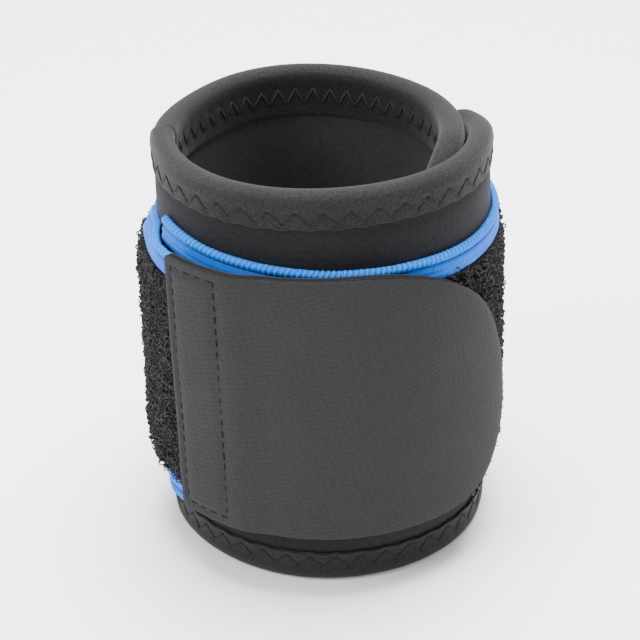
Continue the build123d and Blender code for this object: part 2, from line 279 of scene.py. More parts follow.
class Finish:
    """A material and its nodes. Patterns are measured in millimetres."""

    def __init__(self, name, colour, rough):
        self.material = bpy.data.materials.new(name)
        self.material.use_nodes = True
        self.tree = self.material.node_tree
        self.shader = self.tree.nodes["Principled BSDF"]
        self.shader.inputs["Base Color"].default_value = (*colour, 1)
        self.shader.inputs["Roughness"].default_value = rough
        self.shader.inputs["Specular IOR Level"].default_value = SHINE

    def node(self, kind, inputs=None, **settings):
        return add_node(self.tree, kind, inputs, **settings)

    def in_millimetres(self, where):
        per_metre = (1 / MM,) * 3
        return self.node("ShaderNodeVectorMath", {0: where, 1: per_metre}, operation="MULTIPLY").outputs[0]

    def cloth(self):
        """Cloth coordinates: along the winding, and up it."""
        return self.in_millimetres(self.node("ShaderNodeUVMap", uv_map="cloth").outputs["UV"])

    def place(self):
        """Object coordinates."""
        return self.in_millimetres(self.node("ShaderNodeTexCoord").outputs["Object"])

    def noise(self, where, scale, detail=2.0, rough=0.5):
        given = {"Vector": where, "Scale": scale, "Detail": detail, "Roughness": rough}
        return self.node("ShaderNodeTexNoise", given).outputs["Fac"]

    def wave(self, where, length, direction, distortion=0.0, detail_scale=1.0):
        given = {
            "Vector": where, "Scale": ONE_WAVE / length, "Distortion": distortion,
            "Detail": 1.0, "Detail Scale": detail_scale,
        }
        return self.node("ShaderNodeTexWave", given, bands_direction=direction).outputs["Fac"]

    def math(self, operation, first, second):
        return self.node("ShaderNodeMath", {0: first, 1: second}, operation=operation).outputs[0]

    def mix(self, first, first_share, second, second_share):
        """Two patterns laid over each other, each with its share."""
        first, second = self.math("MULTIPLY", first, first_share), self.math("MULTIPLY", second, second_share)
        return self.math("ADD", first, second)

    def blend(self, factor, dark, light):
        """Colour between two, by a factor."""
        made = self.node("ShaderNodeMix", {0: factor, 6: (*dark, 1), 7: (*light, 1)}, data_type="RGBA")
        self.tree.links.new(made.outputs[2], self.shader.inputs["Base Color"])

    def bump(self, height, distance):
        made = self.node("ShaderNodeBump", {"Height": height, "Distance": distance * MM, "Strength": 1.0})
        self.tree.links.new(made.outputs["Normal"], self.shader.inputs["Normal"])

    def sheen(self, weight, tint):
        self.shader.inputs["Sheen Weight"].default_value = weight
        self.shader.inputs["Sheen Roughness"].default_value = 0.5
        self.shader.inputs["Sheen Tint"].default_value = (*tint, 1)


PLAIN_CONTRAST = 0.55


def knit_finish(name, dark, light, pitch, relief, mottle=0.9, sheen=SHEEN, contrast=PLAIN_CONTRAST):
    """A fine knit: courses and wales at a pitch, under a mottle."""
    knit = Finish(name, light, 0.88)
    where = knit.cloth()
    courses = knit.wave(where, pitch, "X", 1.2)
    wales = knit.wave(where, pitch, "Y", 1.2)
    weave = knit.math("MULTIPLY", courses, wales)
    mottling = knit.noise(where, mottle, 3.0, 0.6)
    tone = knit.mix(mottling, contrast, knit.noise(where, 0.06, 2.0), 1 - PLAIN_CONTRAST)
    knit.blend(knit.math("SUBTRACT", tone, (contrast - PLAIN_CONTRAST) / 2), dark, light)
    knit.bump(knit.math("ADD", weave, knit.math("MULTIPLY", mottling, 0.8)), relief)
    knit.sheen(sheen, (0.8, 0.8, 0.85))
    return knit.material


def twill_finish(name, dark, light):
    """The tab's face: a fine slanted twill, pressed and a little mottled."""
    twill = Finish(name, light, 0.82)
    where = twill.cloth()
    slanted = {"Vector": where, "Rotation": (0, 0, radians(74))}
    turned = twill.node("ShaderNodeMapping", slanted).outputs[0]
    ribs = twill.wave(turned, 1.05, "X", 4.5, 1.3)
    cross = twill.wave(turned, 1.5, "Y", 4.0, 1.5)
    grain = twill.noise(where, 1.6, 3.0, 0.65)
    cloud = twill.noise(where, 0.09, 2.0)
    weave = twill.mix(ribs, 0.6, cross, 0.4)
    tone = twill.mix(weave, 0.2, grain, 0.6)
    twill.blend(twill.math("ADD", tone, twill.math("MULTIPLY", cloud, 0.2)), dark, light)
    twill.bump(twill.math("ADD", twill.math("MULTIPLY", weave, 0.5), grain), 0.12)
    twill.sheen(SHEEN, (0.85, 0.85, 0.9))
    return twill.material


def thread_finish(name, dark, light, rough=0.6, scale=3.0):
    """Spun thread: colour that varies a little from one stitch or loop to the next."""
    thread = Finish(name, light, rough)
    where = thread.place()
    thread.blend(thread.noise(where, scale, 3.0, 0.6), dark, light)
    thread.bump(thread.noise(where, 9.0, 1.0), 0.03)
    thread.sheen(SHEEN, (0.9, 0.9, 0.95))
    return thread.material


def edging_finish(name, dark, light):
    """Bright stretch edging: fine cross ribs and long grooves."""
    edging = Finish(name, light, 0.55)
    where = edging.cloth()
    ribs = edging.wave(where, 0.62, "X", 0.8)
    grooves = edging.wave(where, 1.1, "Y", 0.6)
    grain = edging.noise(where, 1.1, 3.0, 0.6)
    edging.blend(edging.mix(ribs, 0.35, grain, 0.65), dark, light)
    edging.bump(edging.math("ADD", ribs, grooves), 0.06)
    edging.sheen(SHEEN, (0.5, 0.75, 1.0))
    return edging.material


def foam_finish(name, colour):
    """Closed-cell foam rubber at a cut edge."""
    foam = Finish(name, colour, 0.9)
    cells = foam.node("ShaderNodeTexVoronoi", {"Vector": foam.place(), "Scale": 3.5}).outputs["Distance"]
    foam.blend(cells, tuple(0.6 * part for part in colour), colour)
    foam.bump(cells, 0.08)
    return foam.material


def grey(tone):
    return (tone,) * 3


finishes = {
    "neoprene_foam": foam_finish("neoprene foam", (0.010, 0.010, 0.011)),
    "lining_knit": knit_finish(
        "lining knit", (0.020, 0.020, 0.0212), (0.038, 0.038, 0.040), 0.55, 0.03, 0.9, 0.05, 1.1
    ),
    "outer_jersey": knit_finish(
        "outer jersey", (0.006, 0.006, 0.0066), (0.0145, 0.0145, 0.016), 0.5, 0.04, 1.2, 0.05, 1.5
    ),
    "edge_binding": knit_finish(
        "edge binding", (0.005, 0.005, 0.0052), (0.0195, 0.0195, 0.0198), 0.55, 0.05, 1.5, 0.12, 1.9
    ),
    "black_thread": thread_finish("black thread", grey(0.007), grey(0.019)),
    "inside_thread": thread_finish("inside thread", grey(0.012), grey(0.036), 0.6, 1.2),
    "tab_thread": thread_finish("tab thread", grey(0.002), grey(0.007)),
    "elastic_ground": knit_finish("elastic ground", grey(0.004), grey(0.008), 0.8, 0.1),
    "loop_pile": thread_finish("loop pile", (0.005, 0.005, 0.0053), (0.047, 0.047, 0.0475), 0.8, 1.2),
    "band_edging": edging_finish("band edging", (0.0, 0.065, 0.38), (0.0, 0.16, 0.68)),
    "edging_thread": thread_finish("edging thread", (0.0, 0.15, 0.56), (0.0, 0.25, 0.78), 0.5),
    "tab_fabric": twill_finish("tab fabric", (0.010, 0.010, 0.0106), (0.028, 0.028, 0.0293)),
    "hook_tape": thread_finish("hook tape", grey(0.010), grey(0.025), 0.5),
    # the hook plastic's light grey is a painted glint on the hooks at the tab's rim; the same hooks under the
    # leaf keep the dark hook tape
    "hook_plastic_painted_glint": thread_finish("hook plastic painted glint", grey(0.04), grey(0.2), 0.35, 1.5),
}


# ---- meshes ------------------------------------------------------------------------------
def make_piece(name, points, faces, finish, cloth=None):
    """A smooth mesh at its place, its faces turned outwards."""
    mesh = bpy.data.meshes.new(name)
    mesh.from_pydata((np.asarray(points) * MM).tolist(), [], faces)
    if cloth is not None:
        corner = np.empty(len(mesh.loops), int)
        mesh.loops.foreach_get("vertex_index", corner)
        layer = mesh.uv_layers.new(name="cloth")
        layer.data.foreach_set("uv", (np.asarray(cloth)[corner] * MM).ravel())
    work = bmesh.new()
    work.from_mesh(mesh)
    bmesh.ops.recalc_face_normals(work, faces=work.faces)
    work.to_mesh(mesh)
    work.free()
    mesh.polygons.foreach_set("use_smooth", [True] * len(mesh.polygons))
    mesh.materials.append(finishes[finish])
    made = bpy.data.objects.new(name, mesh)
    bpy.context.collection.objects.link(made)
    return made


def sweep(name, rings, cloth, finish, closed=False):
    """Closed loops joined one to the next; open ends are capped between a loop's two halves."""
    count, size = rings.shape[:2]
    index = np.arange(count * size).reshape(count, size)
    here = index if closed else index[:-1]
    ahead = np.roll(index, -1, 0) if closed else index[1:]
    quads = np.stack([here, np.roll(here, -1, 1), np.roll(ahead, -1, 1), ahead], -1).reshape(-1, 4).tolist()
    if not closed:
        for ring in (index[0], index[-1]):
            quads += [
                [ring[j], ring[j + 1], ring[size - 2 - j], ring[size - 1 - j]]
                for j in range(size // 2 - 1)
            ]
    return make_piece(name, rings.reshape(-1, 3), quads, finish, cloth.reshape(-1, 2))


FINE_STEPS = np.array([0, 0.1, 0.3, 0.6, 1.0, 1.6])  # places near an edge, so that it can be eased


def spread(low, high, step, fine):
    """Places from low to high, close together near both ends."""
    inner = np.linspace(low + fine[-1], high - fine[-1], max(int((high - low) / step), 3))
    return np.concatenate([low + fine[:-1], inner, high - fine[-2::-1]])


class Outline:
    """A rounded oblong on the unrolled cloth, with a radius for each corner."""

    def __init__(self, start, end, low, high, radii):
        self.start, self.end, self.low, self.high = start, end, low, high
        self.radii = radii      # start-low, start-high, end-low, end-high

    def inset(self, s, at_end, at_top):
        """How far a corner has cut into the long edge at s."""
        radius = self.radii[2 * at_end + at_top]
        away = np.clip(self.end - s if at_end else s - self.start, 0, None)
        inside = np.clip(radius - away, 0, radius)
        return radius - np.sqrt(np.maximum(radius**2 - inside**2, 0))

    def edges(self, s):
        low = self.low + np.maximum(self.inset(s, 0, 0), self.inset(s, 1, 0))
        high = self.high - np.maximum(self.inset(s, 0, 1), self.inset(s, 1, 1))
        return low, high

    def rim(self, s, z):
        """Distance in from the outline."""
        nearest = np.full(np.shape(s), 1e9)
        for at_end in (0, 1):
            for at_top in (0, 1):
                radius = self.radii[2 * at_end + at_top]
                ds = self.end - s if at_end else s - self.start
                dz = self.high - z if at_top else z - self.low
                corner = radius - np.hypot(radius - ds, radius - dz)
                in_corner = (ds < radius) & (dz < radius)
                nearest = np.minimum(nearest, np.where(in_corner, corner, np.minimum(ds, dz)))
        return np.maximum(nearest, 0)

    def columns(self, step):
        """Lengths that follow the corners closely."""
        turn = np.radians(np.linspace(0, 90, 15))
        first = self.start + max(self.radii[:2]) * (1 - np.cos(turn))
        last = self.end - max(self.radii[2:]) * (1 - np.cos(turn))
        middle = np.arange(first[-1] + step, last[-1] - 0.5 * step, step)
        edge = FINE_STEPS[1:]
        every = np.concatenate([first, middle, last, self.start + edge, self.end - edge])
        every = np.unique(every.round(3))
        return every[np.concatenate([[True], np.diff(every) > 0.04])]


def slab(name, winding, outline, near, far, finish, rounding=0.25, step=1.2, relief=None):
    """A layer of cloth or foam between two heights, its edges eased and its outer face in relief."""
    s = outline.columns(step)[:, None]
    low, high = outline.edges(s)
    width = outline.high - outline.low
    z = low + (high - low) * spread(0, 1, step / width, FINE_STEPS / width)[None, :]
    s = np.broadcast_to(s, z.shape)
    rim = outline.rim(s, z)
    inner = near(s) if callable(near) else np.full(z.shape, float(near))
    outer = far(s) if callable(far) else np.full(z.shape, float(far))
    ease = rounding - np.sqrt(np.maximum(rounding**2 - np.clip(rounding - rim, 0, rounding) ** 2, 0))
    top = outer - ease + (relief(s, z, rim) if relief else 0)
    bottom = inner + ease
    rings = np.concatenate([winding.at(s, top, z), winding.at(s, bottom, z)[:, ::-1]], 1)
    flat = np.stack([s, z], -1)
    cloth = np.concatenate([flat, flat[:, ::-1]], 1)
    return sweep(name, rings, cloth, finish)


def thread_piece(name, line, radius, sides, taper=0.6):
    """A small bent thread in the XZ plane, closed at both ends, to be set out many times."""
    line = np.asarray(line, float)
    way = np.gradient(line, axis=0)
    way /= np.linalg.norm(way, axis=1)[:, None]
    side = np.stack([-way[:, 2], np.zeros(len(line)), way[:, 0]], -1)
    turn = np.arange(sides) * 2 * pi / sides
    size = np.full(len(line), radius)
    size[[0, -1]] *= taper
    rings = line[:, None] + size[:, None, None] * (
        np.cos(turn)[None, :, None] * side[:, None] + np.sin(turn)[None, :, None] * np.array([0, 1.0, 0])
    )
    index = np.arange(len(line) * sides).reshape(len(line), sides)
    here, ahead = index[:-1], index[1:]
    quads = np.stack([here, np.roll(here, -1, 1), np.roll(ahead, -1, 1), ahead], -1).reshape(-1, 4).tolist()
    caps = [index[0].tolist(), index[-1].tolist()]
    return make_piece(name, rings.reshape(-1, 3), quads + caps, "black_thread")


# ---- setting out many small pieces --------------------------------------------------------
def placing_tree():
    """Nodes that set a small piece on every spot, turned to the cloth and a little unalike."""
    tree = bpy.data.node_groups.new("small pieces set on cloth", "GeometryNodeTree")
    inputs = {}
    for label, kind in (
        ("Spots", "NodeSocketGeometry"), ("Piece", "NodeSocketObject"), ("Finish", "NodeSocketMaterial"),
        ("Size Spread", "NodeSocketFloat"), ("Turn Spread", "NodeSocketFloat"),
        ("Tilt Spread", "NodeSocketFloat"), ("Seed", "NodeSocketInt"),
    ):
        inputs[label] = tree.interface.new_socket(name=label, in_out="INPUT", socket_type=kind).identifier
    tree.interface.new_socket(name="Pieces", in_out="OUTPUT", socket_type="NodeSocketGeometry")

    def node(kind, links=None, **settings):
        return add_node(tree, kind, links, **settings)

    given = node("NodeGroupInput").outputs
    spots = node("GeometryNodeMeshToPoints", {"Mesh": given["Spots"]})
    piece = node("GeometryNodeObjectInfo", {"Object": given["Piece"]})
    outward = node("GeometryNodeInputNamedAttribute", {"Name": "outward"}, data_type="FLOAT_VECTOR")
    along = node("GeometryNodeInputNamedAttribute", {"Name": "along"}, data_type="FLOAT_VECTOR")
    size = node("GeometryNodeInputNamedAttribute", {"Name": "size"}, data_type="FLOAT")
    facing = node(
        "FunctionNodeAxesToRotation",
        {"Primary Axis": outward.outputs[0], "Secondary Axis": along.outputs[0]},
    )
    swing = node("FunctionNodeRandomValue", {"Seed": given["Seed"]}, data_type="FLOAT_VECTOR")
    swing.inputs[0].default_value, swing.inputs[1].default_value = (-1, -1, -1), (1, 1, 1)
    tilt, turn = given["Tilt Spread"], given["Turn Spread"]
    most = node("ShaderNodeCombineXYZ", {"X": tilt, "Y": tilt, "Z": turn})
    angles = node("ShaderNodeVectorMath", {0: swing.outputs[0], 1: most.outputs[0]}, operation="MULTIPLY")
    loose = node("FunctionNodeEulerToRotation", {"Euler": angles.outputs[0]})
    turned = node(
        "FunctionNodeRotateRotation", {"Rotation": facing.outputs[0], "Rotate By": loose.outputs[0]},
        rotation_space="LOCAL",
    )
    chance = node("FunctionNodeRandomValue", {"Seed": given["Seed"], 2: -1.0, 3: 1.0}, data_type="FLOAT")
    swell = node("ShaderNodeMath", {0: chance.outputs[1], 1: given["Size Spread"]}, operation="MULTIPLY")
    factor = node("ShaderNodeMath", {0: swell.outputs[0], 1: 1.0}, operation="ADD")
    scale = node("ShaderNodeMath", {0: factor.outputs[0], 1: size.outputs[0]}, operation="MULTIPLY")
    placed = node(
        "GeometryNodeInstanceOnPoints",
        {
            "Points": spots.outputs[0], "Instance": piece.outputs["Geometry"],
            "Rotation": turned.outputs[0], "Scale": scale.outputs[0],
        },
    )
    real = node("GeometryNodeRealizeInstances", {"Geometry": placed.outputs[0]})
    finished = node("GeometryNodeSetMaterial", {"Geometry": real.outputs[0], "Material": given["Finish"]})
    node("NodeGroupOutput", {"Pieces": finished.outputs[0]})
    return tree, inputs


PLACING, PLACING_INPUTS = placing_tree()


def set_out(
    name, piece, spots, outward, along, finish, size=1.0, size_spread=0.0, turn=0.0, tilt=0.0, seed=1
):
    """One mesh of many copies of a small piece, set on spots."""
    carrier = bpy.data.meshes.new(name + " spots")
    carrier.from_pydata((np.asarray(spots) * MM).tolist(), [], [])
    for label, values in (("outward", outward), ("along", along)):
        directions = carrier.attributes.new(label, "FLOAT_VECTOR", "POINT")
        directions.data.foreach_set("vector", np.asarray(values, float).ravel())
    sizes = carrier.attributes.new("size", "FLOAT", "POINT")
    sizes.data.foreach_set("value", np.broadcast_to(size, len(spots)).astype(float))
    holder = bpy.data.objects.new(name + " holder", carrier)
    bpy.context.collection.objects.link(holder)
    modifier = holder.modifiers.new("set out", "NODES")
    modifier.node_group = PLACING
    for label, value in (
        ("Piece", piece), ("Finish", finishes[finish]), ("Size Spread", size_spread),
        ("Turn Spread", radians(turn)), ("Tilt Spread", radians(tilt)), ("Seed", seed),
    ):
        modifier[PLACING_INPUTS[label]] = value
    shown = holder.evaluated_get(bpy.context.evaluated_depsgraph_get())
    mesh = bpy.data.meshes.new_from_object(shown)
    mesh.name = name
    for attribute in ("outward", "along", "size"):
        if attribute in mesh.attributes:
            mesh.attributes.remove(mesh.attributes[attribute])
    bpy.data.objects.remove(holder)
    made = bpy.data.objects.new(name, mesh)
    bpy.context.collection.objects.link(made)
    return made


def belong(piece, slot, body, *nodes, bend=None):
    """Hang a piece on the body it rides on, or only bake its place into its mesh when a bend is given, and
    hide the CAD nodes it stands for. The slot is not used.
    """
    if bend:
        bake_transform(piece)
    else:
        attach(piece, body)
    if nodes:
        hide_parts(*nodes)


# ---- folds -------------------------------------------------------------------------------
def fold(parent, child, angle, before, after):
    """A bend between two bodies, from one length before an angle along the band to one after it."""
    at = BAND.length_to(angle)
    ends = BAND.at(np.array([at - before, at + after]), 0, 0) * MM
    middle = Vector(BAND.at(np.array([at]), 0, 0)[0] * MM)
    way = Vector(BAND.along(np.array([at]))[0])
    first = middle + way * (Vector(ends[0]) - middle).dot(way)
    last = middle + way * (Vector(ends[1]) - middle).dot(way)
    return parent, child, tuple(first), tuple(last)


BAND_BEND = fold("cuff", "band_end", BAND_FOLD, 9, 9)
TAB_BEND = fold("band_end", "tab", TAB_FOLD, 0.5, 9)


# ---- cuff panel --------------------------------------------------------------------------
panel = Outline(
    PANEL_INSET, CUFF_LENGTH - PANEL_INSET, FOOT + PANEL_INSET, CROWN - PANEL_INSET,
    [CORNER - PANEL_INSET] * 4,
)

foam = slab("cuff_foam", CUFF, panel, FOAM_IN, JERSEY_IN, "neoprene_foam", 0.8)
belong(foam, "neoprene_foam", "cuff", "cuff_foam_core")

lining = slab("cuff_lining_cloth", CUFF, panel, LINING_IN, FOAM_IN, "lining_knit")
belong(lining, "lining_knit", "cuff", "cuff_inner_lining")


SWELL, SUNK, GROOVE = 0.25, 0.1, 0.22


def jersey_swell(s, z, rim):
    """The jersey stands a little full between the bindings and is pulled down beside them."""
    beside_binding = bell(rim, OUTSIDE_LEG - 1.3, 0.5)
    return SWELL * (1 - np.exp(-np.maximum(rim - 7, 0) / 3)) - SUNK - GROOVE * beside_binding


jersey = slab("cuff_jersey_cloth", CUFF, panel, JERSEY_IN, JERSEY_OUT, "outer_jersey", relief=jersey_swell)
belong(jersey, "outer_jersey", "cuff", "cuff_outer_jersey")


# ---- edge binding ------------------------------------------------------------------------
def panel_edge(step):
    """The panel's outline as one round walk: length, level, inward direction and distance walked."""
    length, low, high, radius = CUFF_LENGTH, FOOT, CROWN, CORNER
    straight = [length - 2 * radius, high - low - 2 * radius]
    corner = radius * pi / 2
    starts = [
        (radius, low, 0), (length, low + radius, 90),
        (length - radius, high, 180), (0, high - radius, 270),
    ]
    out = []
    walked = 0.0
    for side, (s, z, heading) in enumerate(starts):
        run = straight[side % 2]
        way = np.array([cos(radians(heading)), sin(radians(heading))])
        left = np.array([-way[1], way[0]])
        for part in np.arange(0, run, run / round(run / step)):
            out.append([s + way[0] * part, z + way[1] * part, *left, walked + part])
        centre = np.array([s, z]) + way * run + left * radius
        for part in np.arange(0, corner, corner / round(corner / step)):
            turn = radians(heading - 90) + part / radius
            spoke = np.array([cos(turn), sin(turn)])
            out.append([*(centre + radius * spoke), *-spoke, walked + run + part])
        walked += run + corner
    return np.array(out), walked


def binding_profile():
    """The folded tape's section: distance in from the edge, and height."""
    crest = np.radians(np.linspace(72, -72, 11))
    mid, half = CUFF_OUT / 2, CUFF_OUT / 2 + 0.05
    outer = [(d, CUFF_OUT + 0.05) for d in (7.44, 7.2, 6.8, 6.3, 5.8, 5.3, 4.8, 4.3, 3.8, 3.2, 2.6)]
    round_over = [(2.1 - 2.1 * cos(a), mid + half * sin(a)) for a in crest]
    inner = [(d, -0.03) for d in (2.6, 3.2, 3.9, 4.6, 5.2, 5.8, 6.4, 7.0, 7.6, 8.2, 8.8, 9.6, 10.4, 10.8)]
    ends = [(OUTSIDE_LEG, JERSEY_OUT + 0.02), (OUTSIDE_LEG, CUFF_OUT - 0.12)]
    turn = [(INSIDE_LEG, 0.1), (INSIDE_LEG, LINING_IN - 0.02)]
    under = [(8, 0.38), (5, 0.4), (3.2, 0.45), (1.7, 1.1), (1.2, 2.5), (1.7, 3.9), (3.2, 4.5), (5, 4.55)]
    return np.array(ends + outer + round_over + inner + turn + under)


def needle_dents(walk, depth_in, pitch, low, high, sink):
    """How far a zigzag row pulls the tape down: a soft trough, and a dent at each needle hole."""
    trough = bell(depth_in, (low + high) / 2, 2.0)
    phase = walk / pitch
    at_low = np.abs(phase - np.round(phase)) * pitch
    at_high = np.abs(phase - 0.5 - np.round(phase - 0.5)) * pitch
    holes = bell(at_low, 0, 0.55) * bell(depth_in, low, 0.5)
    holes = holes + bell(at_high, 0, 0.55) * bell(depth_in, high, 0.5)
    return sink * (0.35 * trough + holes)


def whole_pitch(total, pitch):
    """The nearest pitch that fits a whole number of times."""
    return total / round(total / pitch)


edge, edge_length = panel_edge(0.7)
outside_pitch, inside_pitch = whole_pitch(edge_length, ZIGZAG_PITCH), whole_pitch(edge_length, INSIDE_PITCH)


OUTSIDE_SINK, INSIDE_SINK, PUFF, SCALLOP = 0.3, 0.25, 0.12, 0.14


def edge_binding():
    """The tape folded over the whole edge of the panel."""
    profile = binding_profile()
    depth_in = np.broadcast_to(profile[:, 0], (len(edge), len(profile))).copy()
    height = np.broadcast_to(profile[:, 1], depth_in.shape).copy()
    walk = edge[:, 4][:, None]
    outer_face = height > CUFF_OUT - 0.05
    inner_face = (height < 0.05) & (depth_in > 2.3)
    outer_dents = needle_dents(walk, depth_in, outside_pitch, ZIGZAG_LOW, ZIGZAG_HIGH, OUTSIDE_SINK)
    inner_dents = needle_dents(walk, depth_in, inside_pitch, INSIDE_LOW, INSIDE_HIGH, INSIDE_SINK)
    height += np.where(inner_face, inner_dents, 0) - np.where(outer_face, outer_dents, 0)
    puff = PUFF * bell(depth_in, 2.6, 1.1) * (1 + 0.4 * np.sin(walk / 6.1) * np.sin(walk / 2.3))
    height += np.where(outer_face, puff, 0) - np.where(inner_face, puff * 0.3, 0)
    scallop = SCALLOP * np.cos(2 * pi * walk / outside_pitch) + 0.1 * np.sin(walk / 7.7)
    depth_in += np.where((profile[:, 0] > 6.9) & (height > 4), scallop, 0)
    s = edge[:, 0][:, None] + edge[:, 2][:, None] * depth_in
    z = edge[:, 1][:, None] + edge[:, 3][:, None] * depth_in
    across = np.concatenate([[0], np.cumsum(np.hypot(*np.diff(profile, axis=0).T))])
    cloth = np.stack([np.broadcast_to(walk, s.shape), np.broadcast_to(across, s.shape)], -1)
    return sweep("edge_binding", CUFF.at(s, height, z), cloth, "edge_binding", closed=True)


binding = edge_binding()
belong(
    binding, "edge_binding", "cuff",
    "top_edge_binding", "bottom_edge_binding", "inside_end_binding", "flap_end_binding",
)


def on_edge(walk, depth_in):
    """The length and level of places a way round the panel's edge and a depth in from it."""
    s = np.interp(walk, edge[:, 4], edge[:, 0]) + depth_in * np.interp(walk, edge[:, 4], edge[:, 2])
    z = np.interp(walk, edge[:, 4], edge[:, 1]) + depth_in * np.interp(walk, edge[:, 4], edge[:, 3])
    return s, z


def zigzag(name, piece, pitch, low, high, height, side, *nodes):
    """A zigzag row all round the binding: each stitch runs from one needle hole to the next."""
    holes = np.arange(0, edge_length - 0.4 * pitch, pitch / 2)
    depths = np.where(np.arange(len(holes)) % 2 == 0, low, high)
    s, z = on_edge(holes, depths)
    points = CUFF.at(s, height, z)
    ahead = np.roll(points, -1, 0)
    middles, along = (points + ahead) / 2, ahead - points
    length = np.linalg.norm(along, axis=1)
    keep = length < 1.6 * pitch  # not the step from the last hole back to the first
    outward = side * CUFF.outward((s + np.roll(s, -1)) / 2)
    thread = "black_thread" if side > 0 else "inside_thread"
    made = set_out(
        name, piece, middles[keep], outward[keep], along[keep], thread,
        size=length[keep], turn=3, seed=3,
    )
    belong(made, "black_thread", "cuff", *nodes)


stitch_line = [(x, 0, 0.055 * (1 - (2 * x) ** 2) - 0.035) for x in np.linspace(-0.5, 0.5, 7)]
stitch = thread_piece("stitch", stitch_line, 0.055, 6)
fine_stitch = thread_piece("fine stitch", stitch_line, 0.036, 6)
seam_stitch = thread_piece("seam stitch", stitch_line, 0.11, 6)
zigzag(
    "binding_outside_stitching", fine_stitch, outside_pitch, ZIGZAG_LOW, ZIGZAG_HIGH, CUFF_OUT - 0.02, 1,
    "top_outside_stitching", "bottom_outside_stitching",
)
zigzag(
    "binding_inside_stitching", stitch, inside_pitch, INSIDE_LOW, INSIDE_HIGH, 0.08, -1,
    "top_inside_stitching", "bottom_inside_stitching",
)


# ---- elastic band ------------------------------------------------------------------------
def edging_profile():
    """The edging's section: a rolled ridge at the band's edge and a grooved flat strip beside it."""
    roll = np.radians(np.linspace(205, -15, 12))
    ridge = [(RIDGE + 0.88 * RIDGE * cos(a), RIDGE_HEIGHT + 0.84 * sin(a)) for a in roll]
    strip = [
        (2.2, 1.05), (2.5, 1.3), (3.0, 1.38), (3.5, 1.22),
        (4.0, 1.36), (4.6, 1.38), (5.1, 1.3), (5.5, 1.0),
    ]
    top = ridge + strip
    return np.array(top + [(across, 0.72 + 0.02 * across) for across in np.linspace(5.4, 0.9, len(top))])


def band_edging(name, start, end, edge_level, side):
    """A length of edging along the band."""
    profile = edging_profile()
    s = np.arange(start, end + 0.01, (end - start) / round((end - start) / 0.8))[:, None]
    ripple = 0.06 * np.sin(s / 5.3) + 0.04 * np.sin(s / 2.1 + 1)
    z = edge_level - side * (profile[:, 0][None, :] + ripple)
    height = profile[:, 1][None, :] + 0 * s
    across = np.concatenate([[0], np.cumsum(np.hypot(*np.diff(profile, axis=0).T))])
    cloth = np.stack([s + 0 * z, across[None, :] + 0 * z], -1)
    return sweep(name, BAND.at(s + 0 * z, height, z), cloth, "band_edging")


rib_arc = np.radians(np.linspace(-60, 215, 9))
rib_line = [(0.76 * RIDGE * cos(a), 0, 0.74 * RIDGE * sin(a)) for a in rib_arc]
rib = thread_piece("edging rib", rib_line, 0.29, 6)


def edging_ribs(name, start, end, edge_level, side):
    """Slanted threads wound over the ridge of the edging."""
    s = np.arange(start + 0.6, end - 0.3, RIB_PITCH)
    spots = BAND.at(s, RIDGE_HEIGHT, edge_level - side * RIDGE)
    outward = BAND.outward(s)
    across = np.broadcast_to(side * UP, outward.shape) + 0.45 * BAND.along(s)
    return set_out(
        name, rib, spots, outward, across, "edging_thread", size_spread=0.04, turn=5, seed=5
    )


def pile_spots(start, end, gap, seed):
    """Uneven places for the loops of the pile, between the two edgings."""
    chance = np.random.default_rng(seed)
    s = np.arange(start + 0.4, end - 0.3, gap)
    z = np.arange(BAND_FOOT + EDGING_WIDTH + 0.1, BAND_CROWN - EDGING_WIDTH - 0.1, gap)
    s, z = (part.ravel() for part in np.meshgrid(s, z))
    s = s + chance.uniform(-0.48, 0.48, s.shape) * gap
    z = z + chance.uniform(-0.48, 0.48, z.shape) * gap
    keep = (s > start + 0.2) & (s < end - 0.2)
    return s[keep], z[keep]


loop_turn = np.radians(np.linspace(-50, 230, 8))
loop_line = [(0.48 * cos(a), 0, 0.66 + 0.72 * sin(a)) for a in loop_turn]
pile_loop = thread_piece("pile loop", loop_line, 0.135, 4, 0.8)


def loop_pile(name, start, end, gap, seed):
    """A length of pile: loops of uneven size, tossed to all sides."""
    s, z = pile_spots(start, end, gap, seed)
    spots = BAND.at(s, BAND_GAUGE + 0.1, z)
    clump = 1 + 0.18 * np.sin(s / 2.9 + z / 3.7) * np.sin(z / 2.3 - s / 4.1)
    return set_out(
        name, pile_loop, spots, BAND.outward(s), BAND.along(s), "loop_pile",
        size=clump, size_spread=0.28, turn=180, tilt=50, seed=seed,
    )


TAB_COVERS = BAND.length_to(219), BAND.length_to(341)
WRAP_END = BAND_SPANS["wrap"][1]


def pile_bed(s, z, rim):
    """The roots of the pile: a dark, uneven bed, flat where the tab presses or is sewn on it."""
    inside = smooth((BAND_CROWN - z - BED_MARGIN) / 2) * smooth((z - BAND_FOOT - BED_MARGIN) / 2)
    on_wrap = s < WRAP_END
    free = smooth((s - TAB_COVERS[1] + 10) / 6) * on_wrap + smooth((TAB_AT - 1 - s) / 4) * ~on_wrap
    return inside * free * (BED_RISE + BED_UNEVEN * np.sin(5.3 * s) * np.cos(4.7 * z))


for part, (start, end) in BAND_SPANS.items():
    suffix, bend = ("end", BAND_BEND) if part == "lead" else (part, None)
    low, high = BAND_FOOT + GROUND_INSET, BAND_CROWN - GROUND_INSET
    ground = slab(
        f"elastic_ground_{part}", BAND, Outline(start, end, low, high, [0.05] * 4),
        0, GROUND_OUT, "elastic_ground", 0.1, relief=pile_bed,
    )
    belong(ground, "elastic_ground", "cuff", f"elastic_band_{suffix}", bend=bend)
    for place, edge_level, side in (("top", BAND_CROWN, 1), ("bottom", BAND_FOOT, -1)):
        edging = band_edging(f"{place}_edging_strip_{part}", start, end, edge_level, side)
        belong(edging, "band_edging", "cuff", f"{place}_edging_{suffix}", bend=bend)
        ribs = edging_ribs(f"{place}_edging_ribs_{part}", start, end, edge_level, side)
        belong(ribs, "band_edging", "cuff", bend=bend)


